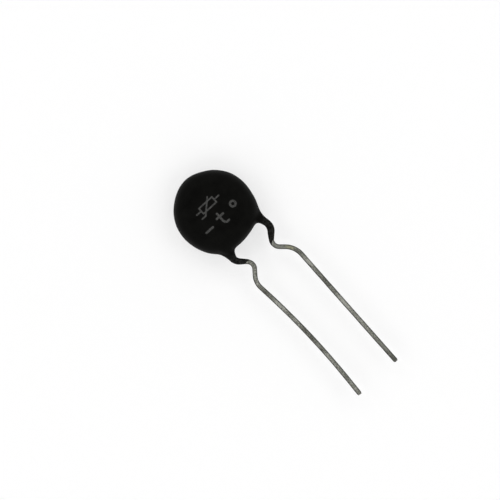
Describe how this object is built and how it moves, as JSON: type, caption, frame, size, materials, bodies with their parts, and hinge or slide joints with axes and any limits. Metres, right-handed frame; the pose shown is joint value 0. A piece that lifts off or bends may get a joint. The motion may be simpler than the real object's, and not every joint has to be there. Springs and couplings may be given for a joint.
{
  "type": "disc inrush current limiter",
  "caption": "Dip-coated disc thermistor with kinked wire leads, which limits the inrush current of a power supply.",
  "frame": {"origin": "on the disc's axis, in the plane of the rear face that the part lies on", "axes": "+Z out of the front face, -Y along the leads towards their tips, +X across the two leads"},
  "size_m": [0.0086, 0.0287, 0.004],
  "materials": {
    "black_resin": "satin black dipped resin",
    "oxide_ceramic": "sintered, dull dark grey",
    "fired_silver": "fired silver, matte",
    "solder": "solder, soft gloss",
    "tinned_wire": "tinned, dulled"
  },
  "bodies": {
    "root": {"coating": "black_resin", "thermistor_disc": "oxide_ceramic", "front_electrode": "fired_silver", "rear_electrode": "fired_silver", "front_solder": "solder", "rear_solder": "solder", "left_lead": "tinned_wire", "right_lead": "tinned_wire"}
  },
  "joints": []
}
